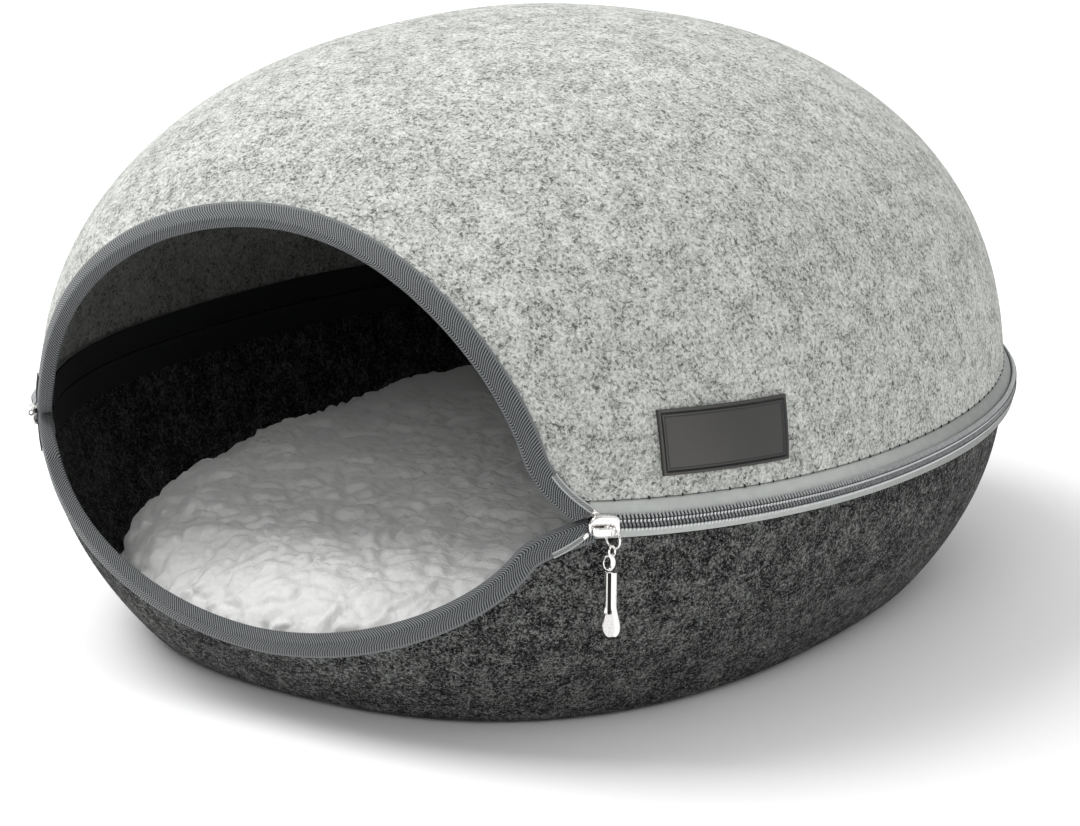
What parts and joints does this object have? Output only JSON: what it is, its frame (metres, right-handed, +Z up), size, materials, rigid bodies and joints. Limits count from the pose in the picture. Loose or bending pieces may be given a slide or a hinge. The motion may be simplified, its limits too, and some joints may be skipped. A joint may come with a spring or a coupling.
{
  "type": "felt cat cave",
  "caption": "Egg-shaped felt pet cave: a light dome zipped to a dark bowl, with a tape-bound oval entrance, a bare label, a zip pull and a fleece cushion inside.",
  "frame": {"origin": "on the flat underside of the bowl, below the middle of the egg", "axes": "+Z up, the entrance faces -Y, +X to the right of someone who looks in"},
  "size_m": [0.435, 0.4751, 0.277],
  "materials": {
    "light_felt": "mottled light grey needled felt, matt",
    "dark_felt": "mottled charcoal needled felt, matt",
    "grey_binding": "ribbed grey binding tape",
    "zip_tape": "smooth light grey woven zip tape",
    "zip_teeth": "grey moulded coil teeth",
    "black_strip": "black seam strip, matt",
    "bright_metal": "polished plating",
    "grey_rubber": "satin dark grey rubber, bare",
    "white_fleece": "white curly fleece"
  },
  "bodies": {
    "root": {"dome_felt": "light_felt", "bowl_felt": "dark_felt", "dome_binding": "grey_binding", "bowl_binding": "grey_binding", "zip_tape_upper": "zip_tape", "zip_tape_lower": "zip_tape", "zip_teeth_upper": "zip_teeth", "zip_teeth_lower": "zip_teeth", "seam_strip_upper": "black_strip", "seam_strip_lower": "black_strip", "slider_right": "bright_metal", "slider_left": "bright_metal", "slider_bridge_right": "bright_metal", "slider_bridge_left": "bright_metal", "pull_ring": "bright_metal", "pull_link": "bright_metal", "pull_pendant": "bright_metal", "label": "grey_rubber", "cushion": "white_fleece"}
  },
  "joints": []
}
